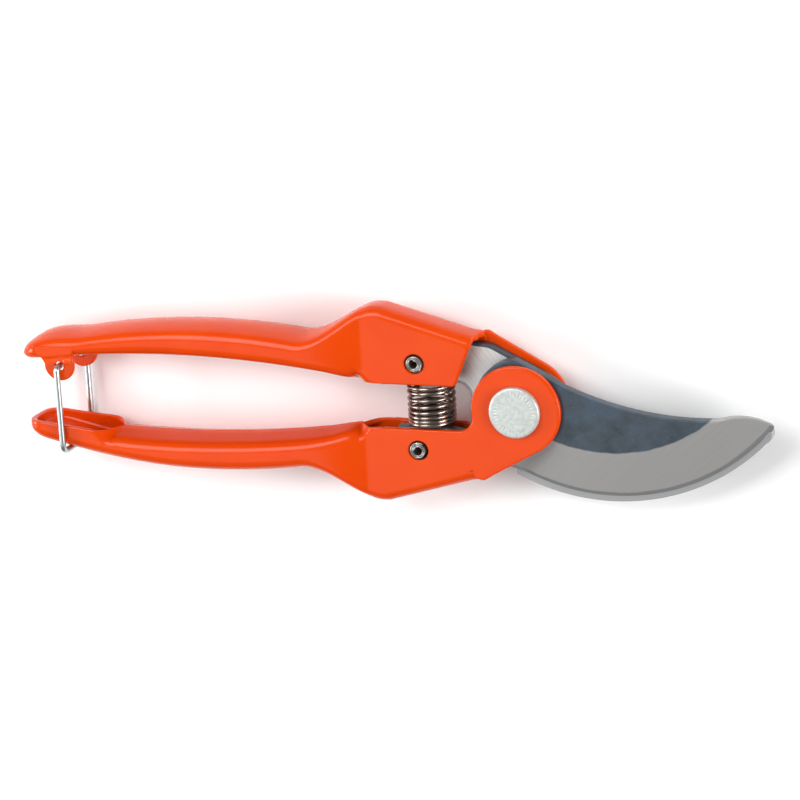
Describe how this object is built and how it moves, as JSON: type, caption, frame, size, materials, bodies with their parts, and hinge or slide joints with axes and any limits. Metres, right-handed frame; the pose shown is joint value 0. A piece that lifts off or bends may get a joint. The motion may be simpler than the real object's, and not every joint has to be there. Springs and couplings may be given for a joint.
{
  "type": "pruning shears",
  "caption": "Bypass pruning shears with orange coated pressed-steel handles, convex cutting blade, hooked counter blade, coil spring and wire closing loop.",
  "frame": {"origin": "on the pivot axis, at the outer face of the pivot nut on the far side", "axes": "+X along the closed tool to the blade tip, +Y towards the upper handle, +Z along the pivot axis from the nut to the bolt head"},
  "size_m": [0.2227, 0.0576, 0.0229],
  "materials": {
    "coated_steel": "glossy orange powder coating over pressed sheet steel",
    "blade_steel": "hardened steel, dark oxide on the flats and ground bright at the edge",
    "plated_steel": "satin zinc plating",
    "spring_steel": "dark oiled spring steel",
    "zinc_wire": "bright zinc-plated wire"
  },
  "bodies": {
    "lower": {"lower_handle": "coated_steel", "cutting_blade": "blade_steel", "lower_roll_pin": "spring_steel", "pivot_bolt": "plated_steel", "pivot_washer": "plated_steel", "pivot_nut": "plated_steel", "spring": "spring_steel"},
    "upper": {"upper_handle": "coated_steel", "counter_blade": "blade_steel", "upper_roll_pin": "spring_steel"},
    "catch": {"wire_catch": "zinc_wire"}
  },
  "joints": [
    {"name": "pivot", "type": "hinge", "parent": "lower", "child": "upper", "pos_m": [0, 0, 0.0117], "axis": [0, 0, -1], "range_deg": [0, 32], "deforming": ["spring"]},
    {"name": "catch_swing", "type": "hinge", "parent": "upper", "child": "catch", "pos_m": [-0.1372, 0.0087, 0.0117], "axis": [0, 0, -1], "range_deg": [0, 150]}
  ]
}
